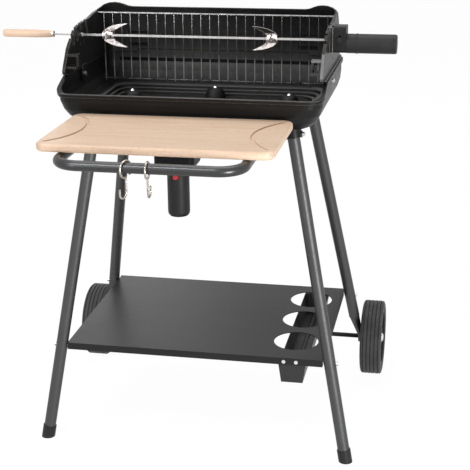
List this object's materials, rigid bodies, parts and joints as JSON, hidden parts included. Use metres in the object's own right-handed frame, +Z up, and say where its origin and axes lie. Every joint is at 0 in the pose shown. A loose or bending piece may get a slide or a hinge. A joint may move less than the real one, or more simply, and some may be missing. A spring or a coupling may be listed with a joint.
{
  "type": "rotisserie spit roaster",
  "caption": "Charcoal barbecue on tube legs with wheels: cast bowl and notched fire-back, upright grid, motor-driven spit with forks, board on a rail, shelf with bottle rack, blower below.",
  "frame": {"origin": "on the floor, under the middle of the overall box", "axes": "+Z up, -Y towards the board and the cook, +X towards the spit motor"},
  "size_m": [0.8274, 0.8577, 0.906],
  "materials": {
    "casting": "satin",
    "chrome_wire": "polished",
    "tube_paint": "satin",
    "sheet_paint": "satin",
    "zinc": "satin",
    "beech": "matte",
    "black_plastic": "matte",
    "tyre": "matte",
    "gear_plastic": "matte",
    "red_plastic": "gloss",
    "cell": "satin"
  },
  "bodies": {
    "stand": {"fire_bowl": "casting", "fire_back": "casting", "bowl_bolts": "zinc", "front_leg_left": "tube_paint", "front_leg_right": "tube_paint", "rear_leg_left": "tube_paint", "rear_leg_right": "tube_paint", "leg_bolts": "zinc", "leg_nuts": "zinc", "foot_cap_left": "black_plastic", "foot_cap_right": "black_plastic", "axle": "sheet_paint", "axle_caps": "zinc", "lower_shelf": "sheet_paint", "bottle_rack": "sheet_paint", "rack_screws": "zinc", "shelf_bolts": "zinc", "board_rail": "tube_paint", "motor_bracket": "sheet_paint", "bracket_screws": "zinc", "gearbox_case": "black_plastic", "motor_case": "black_plastic", "motor_end_cap": "black_plastic", "gear_motor": "zinc", "motor_battery": "cell", "blower_duct": "black_plastic", "duct_screws": "zinc", "blower_grip": "black_plastic", "blower_motor": "zinc", "blower_batteries": "cell"},
    "grid": {"charcoal_grid": "chrome_wire"},
    "wheel_l": {"wheel_left": "black_plastic", "tyre_left": "tyre"},
    "wheel_r": {"wheel_right": "black_plastic", "tyre_right": "tyre"},
    "board": {"serving_board": "beech"},
    "hook_l": {"hook_left": "zinc"},
    "hook_r": {"hook_right": "zinc"},
    "spit": {"spit_rod": "chrome_wire", "spit_handle": "beech", "handle_ferrule": "zinc", "drive_gear": "gear_plastic"},
    "pinion": {"drive_pinion": "gear_plastic"},
    "fork_l": {"fork_left": "chrome_wire"},
    "fork_r": {"fork_right": "chrome_wire"},
    "fork_screw_l": {"fork_screw_left": "chrome_wire"},
    "fork_screw_r": {"fork_screw_right": "chrome_wire"},
    "switch": {"motor_switch": "black_plastic"},
    "button": {"blower_button": "red_plastic"},
    "fan": {"blower_fan": "gear_plastic"}
  },
  "joints": [
    {"name": "wheel_left_spin", "type": "hinge", "parent": "stand", "child": "wheel_l", "pos_m": [-0.32695, 0.33977, 0.0885], "axis": [1, 0, 0], "continuous": true},
    {"name": "wheel_right_spin", "type": "hinge", "parent": "stand", "child": "wheel_r", "pos_m": [0.35965, 0.33977, 0.0885], "axis": [1, 0, 0], "continuous": true},
    {"name": "spit_spin", "type": "hinge", "parent": "stand", "child": "spit", "pos_m": [0.01635, 0.04097, 0.858], "axis": [1, 0, 0], "continuous": true},
    {"name": "pinion_spin", "type": "hinge", "parent": "stand", "child": "pinion", "pos_m": [0.29435, 0.04097, 0.845], "axis": [1, 0, 0], "continuous": true},
    {"name": "fork_left_slide", "type": "slide", "parent": "spit", "child": "fork_l", "axis": [1, 0, 0], "range_m": [-0.04, 0.15]},
    {"name": "fork_right_slide", "type": "slide", "parent": "spit", "child": "fork_r", "axis": [1, 0, 0], "range_m": [-0.06, 0.09]},
    {"name": "fork_screw_left_turn", "type": "hinge", "parent": "fork_l", "child": "fork_screw_l", "pos_m": [-0.18365, 0.04097, 0.858], "axis": [0, -1, 0], "range_deg": [0, 540]},
    {"name": "fork_screw_right_turn", "type": "hinge", "parent": "fork_r", "child": "fork_screw_r", "pos_m": [0.16085, 0.04097, 0.858], "axis": [0, -1, 0], "range_deg": [0, 540]},
    {"name": "grid_lift", "type": "slide", "parent": "stand", "child": "grid", "axis": [0, 0, 1], "range_m": [0, 0.18]},
    {"name": "board_lift", "type": "slide", "parent": "stand", "child": "board", "axis": [0, -0.6, 0.8], "range_m": [0, 0.12]},
    {"name": "hook_left_swing", "type": "hinge", "parent": "stand", "child": "hook_l", "pos_m": [-0.02415, -0.41102, 0.7022], "axis": [1, 0, 0], "range_deg": [-35, 35]},
    {"name": "hook_right_swing", "type": "hinge", "parent": "stand", "child": "hook_r", "pos_m": [0.01515, -0.41102, 0.7022], "axis": [1, 0, 0], "range_deg": [-35, 35]},
    {"name": "switch_slide", "type": "slide", "parent": "stand", "child": "switch", "axis": [0, 0, 1], "range_m": [0, 0.0045]},
    {"name": "button_press", "type": "slide", "parent": "stand", "child": "button", "axis": [0, 1, 0], "range_m": [0, 0.0025], "stiffness_N_per_m": 800},
    {"name": "fan_spin", "type": "hinge", "parent": "stand", "child": "fan", "pos_m": [-0.04415, 0.04897, 0.655], "axis": [0, 0, 1], "continuous": true}
  ],
  "couplings": [
    {"joint": "pinion_spin", "follows": "spit_spin", "ratio": -3}
  ]
}
